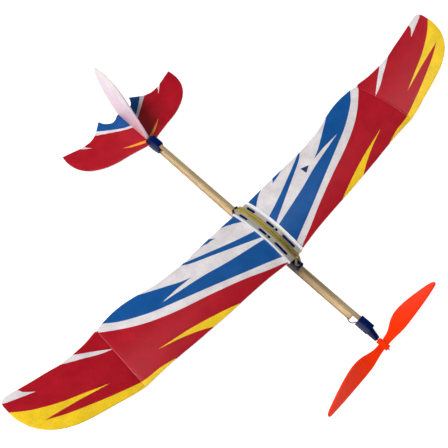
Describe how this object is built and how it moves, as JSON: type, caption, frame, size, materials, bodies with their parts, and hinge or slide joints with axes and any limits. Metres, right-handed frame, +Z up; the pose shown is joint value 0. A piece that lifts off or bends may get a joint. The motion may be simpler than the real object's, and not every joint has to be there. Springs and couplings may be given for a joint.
{
  "type": "rubber-powered foam toy glider",
  "caption": "Foam-winged toy glider with a wooden stick fuselage, moulded brackets, a rubber motor and a two-blade propeller.",
  "frame": {"origin": "centre of the plan box, at the height of the aircraft's lowest point, the tip of the lower propeller blade", "axes": "+Z up, nose and propeller towards -Y, the pilot's left wing tip towards +X"},
  "size_m": [0.4588, 0.3602, 0.1011],
  "materials": {
    "foam_white": "expanded polystyrene sheet, plain",
    "wood": "bare light softwood",
    "navy": "moulded, semi-gloss",
    "orange": "moulded, semi-gloss",
    "steel": "drawn wire",
    "latex": "matt natural latex strip",
    "foam_red": "expanded polystyrene sheet, printed",
    "foam_blue": "expanded polystyrene sheet, printed",
    "milky": "translucent moulding",
    "olive_rubber": "rubber band"
  },
  "bodies": {
    "airframe": {"fuselage_stick": "wood", "nose_bracket": "navy", "tail_bracket": "navy", "stabiliser": "foam_red", "fin": "foam_white", "rubber_motor": "latex"},
    "wing": {"wing_saddle": "navy", "wing_clamp_plate": "milky", "wing_panel_left": "foam_blue", "wing_panel_right": "foam_blue", "wing_retaining_band": "olive_rubber"},
    "left_tip": {"wing_tip_left": "foam_red"},
    "right_tip": {"wing_tip_right": "foam_red"},
    "propeller": {"propeller": "orange", "propeller_shaft": "steel", "rubber_motor_front_loop": "latex"}
  },
  "joints": [
    {"name": "propeller_spin", "type": "hinge", "parent": "airframe", "child": "propeller", "pos_m": [0, -0.17393, 0.01964], "axis": [-0.0314, 0.9995, 0], "continuous": true},
    {"name": "wing_trim_slide", "type": "slide", "parent": "airframe", "child": "wing", "axis": [0, 1, 0], "range_m": [-0.03, 0.03]},
    {"name": "left_tip_fold", "type": "hinge", "parent": "wing", "child": "left_tip", "pos_m": [0.156, -0.03923, 0.06797], "axis": [0, -0.9951, 0.0993], "range_deg": [-10, 10]},
    {"name": "right_tip_fold", "type": "hinge", "parent": "wing", "child": "right_tip", "pos_m": [-0.156, -0.03923, 0.06797], "axis": [0, 0.9951, -0.0993], "range_deg": [-10, 10]}
  ]
}
